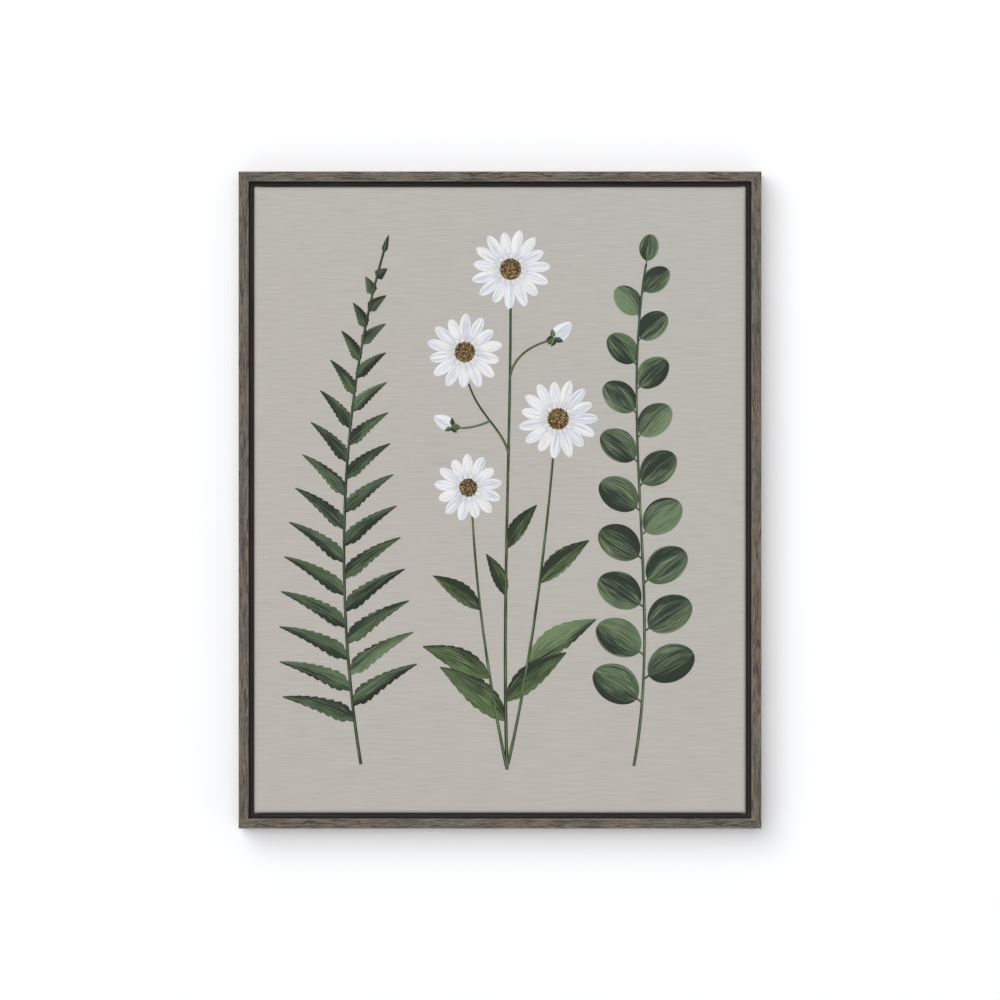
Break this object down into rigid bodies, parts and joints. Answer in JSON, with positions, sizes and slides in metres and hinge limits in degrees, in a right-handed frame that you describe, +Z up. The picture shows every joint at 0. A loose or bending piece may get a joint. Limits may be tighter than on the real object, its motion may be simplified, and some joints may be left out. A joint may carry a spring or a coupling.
{
  "type": "floater-framed canvas picture",
  "caption": "Portrait canvas picture with raised botanical paint, carried in a narrow mitred wooden floater frame with a dark gap round it, hung by a sawtooth hanger.",
  "frame": {"origin": "centre notch of the sawtooth hanger on the wall plane, where the wall hook bears", "axes": "+Z up the wall, +Y from the picture into the wall, +X to the right as the picture is seen from the front"},
  "size_m": [0.5936, 0.0413, 0.7459],
  "materials": {
    "frame_wood": "brown-grey stain with fine grain along each rail, satin, with worn lighter edges; the inner channel is black",
    "stretcher_wood": "bare pine",
    "canvas": "primed and painted cotton canvas, warm grey in horizontal brush strokes",
    "steel": "zinc plated",
    "hanger_metal": "brass plated, dull",
    "rubber": "soft, dull",
    "dark_green_paint": "thick acrylic paint, satin, brushed",
    "grey_green_paint": "thick acrylic paint, satin, brushed",
    "light_green_paint": "thick acrylic paint, satin, brushed",
    "white_paint": "thick acrylic paint, satin, with bluish and cream streaks",
    "gold_paint": "stippled acrylic paint, satin"
  },
  "bodies": {
    "root": {"bumper_1": "rubber", "bumper_2": "rubber", "canvas_sheet": "canvas", "corner_staple_1": "steel", "corner_staple_2": "steel", "corner_staple_3": "steel", "corner_staple_4": "steel", "fixing_screw_1": "steel", "fixing_screw_2": "steel", "fixing_screw_3": "steel", "fixing_screw_4": "steel", "fixing_screw_5": "steel", "fixing_screw_6": "steel", "fixing_screw_7": "steel", "fixing_screw_8": "steel", "frame_rail_bottom": "frame_wood", "frame_rail_left": "frame_wood", "frame_rail_right": "frame_wood", "frame_rail_top": "frame_wood", "hanger_nail_1": "steel", "hanger_nail_2": "steel", "paint_bud_1": "white_paint", "paint_bud_2": "white_paint", "paint_centre_1": "gold_paint", "paint_centre_2": "gold_paint", "paint_centre_3": "gold_paint", "paint_centre_4": "gold_paint", "paint_daisy_green": "light_green_paint", "paint_eucalyptus": "grey_green_paint", "paint_fern": "dark_green_paint", "paint_petals_1": "white_paint", "paint_petals_2": "white_paint", "paint_petals_3": "white_paint", "paint_petals_4": "white_paint", "sawtooth_hanger": "hanger_metal", "stretcher_bar_bottom": "stretcher_wood", "stretcher_bar_left": "stretcher_wood", "stretcher_bar_right": "stretcher_wood", "stretcher_bar_top": "stretcher_wood", "stretcher_brace": "stretcher_wood", "v_nail_1": "steel", "v_nail_2": "steel", "v_nail_3": "steel", "v_nail_4": "steel", "v_nail_5": "steel", "v_nail_6": "steel", "v_nail_7": "steel", "v_nail_8": "steel"}
  },
  "joints": []
}
